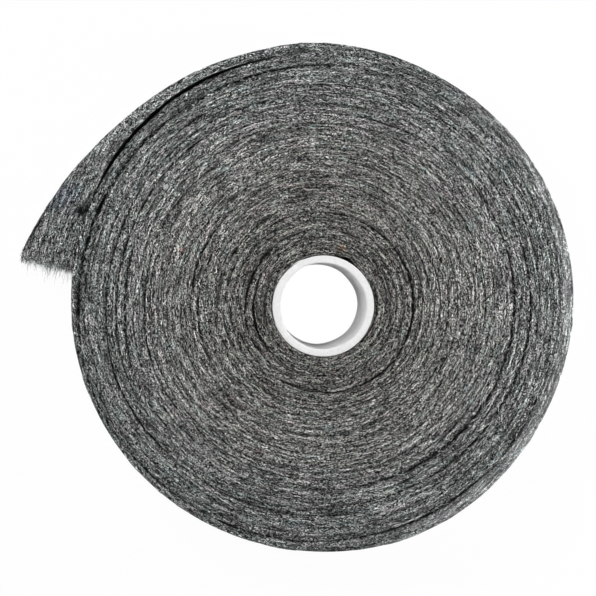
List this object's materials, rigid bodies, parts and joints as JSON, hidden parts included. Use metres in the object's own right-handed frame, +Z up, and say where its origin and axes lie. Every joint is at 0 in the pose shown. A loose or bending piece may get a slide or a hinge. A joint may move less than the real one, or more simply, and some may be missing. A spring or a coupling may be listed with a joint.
{
  "type": "steel wool roll",
  "caption": "Ribbon of steel wool wound in a spiral on a white board tube, lying on its end, with a frayed loose end opened out at one side.",
  "frame": {"origin": "middle of the footprint, loose end included, on the surface that the roll stands on", "axes": "+Z up along the roll's axis, +X away from the loose end's tip, which lies at -X; +Y towards the side where the loose end leaves the roll"},
  "size_m": [0.3308, 0.304, 0.1],
  "materials": {
    "steel_wool": "dark grey crimped fibres with pale glints",
    "white_board": "matt white, cut edges slightly rough"
  },
  "bodies": {
    "root": {"steel_wool_ribbon": "steel_wool", "core_tube": "white_board"}
  },
  "joints": []
}
